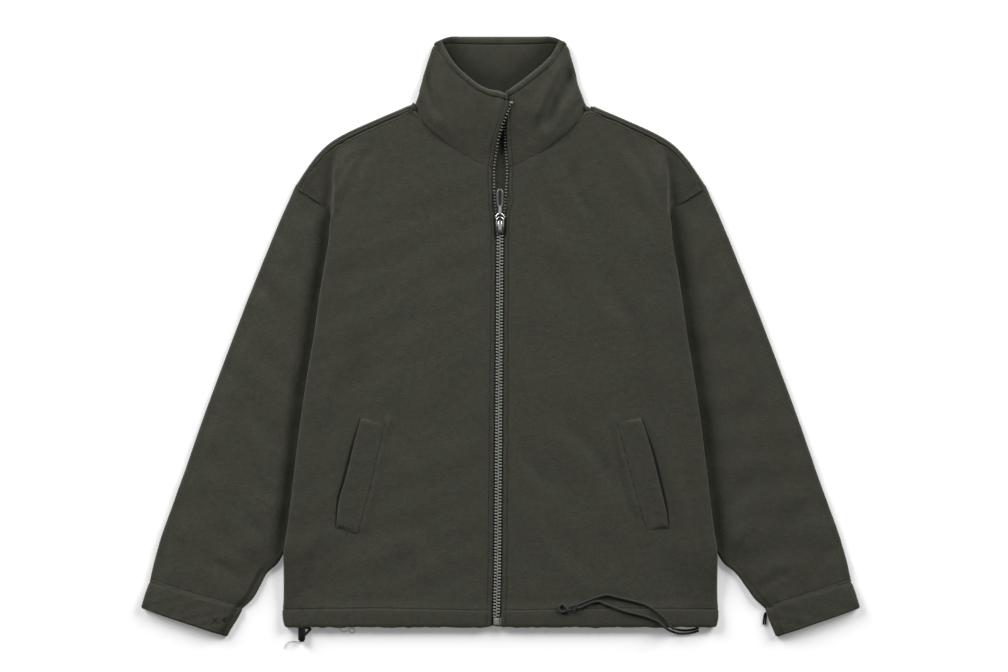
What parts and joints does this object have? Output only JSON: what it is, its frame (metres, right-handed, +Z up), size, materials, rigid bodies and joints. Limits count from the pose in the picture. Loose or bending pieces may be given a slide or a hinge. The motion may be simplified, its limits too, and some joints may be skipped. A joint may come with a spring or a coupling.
{
  "type": "fleece zip jacket",
  "caption": "Dark olive fleece jacket with a stand collar, full-length zip and welt pockets, laid flat on its back.",
  "frame": {"origin": "on the surface the jacket lies on, below the middle of the box round the garment without its cords", "axes": "+Z up out of the front, +Y towards the collar, +X towards the wearer's left sleeve"},
  "size_m": [0.972, 0.8182, 0.0174],
  "materials": {
    "fleece": "matt brushed fleece",
    "zip_tape": "woven tape",
    "zip_teeth": "satin moulded",
    "zip_metal": "polished",
    "cord": "braided cord",
    "black_plastic": "moulded"
  },
  "bodies": {
    "garment": {"back_panel": "fleece", "front_left": "fleece", "front_right": "fleece", "sleeve_left": "fleece", "sleeve_right": "fleece", "cuff_left": "fleece", "cuff_right": "fleece", "collar": "fleece", "welt_left": "fleece", "welt_right": "fleece", "zip_tape_left": "zip_tape", "zip_tape_right": "zip_tape", "zip_teeth_left": "zip_teeth", "zip_teeth_right": "zip_teeth", "zip_box": "zip_teeth", "zip_slider": "zip_metal", "drawcord_long": "cord", "drawcord_short": "cord", "cord_knot": "cord", "cord_bight": "cord", "cord_lock": "black_plastic", "lock_cord": "cord", "cuff_cord": "cord"},
    "pull": {"zip_pull": "zip_metal"}
  },
  "joints": [
    {"name": "pull_hinge", "type": "hinge", "parent": "garment", "child": "pull", "pos_m": [-0.0007, 0.1495, 0.0102], "axis": [1, 0, 0], "range_deg": [0, 170]}
  ]
}
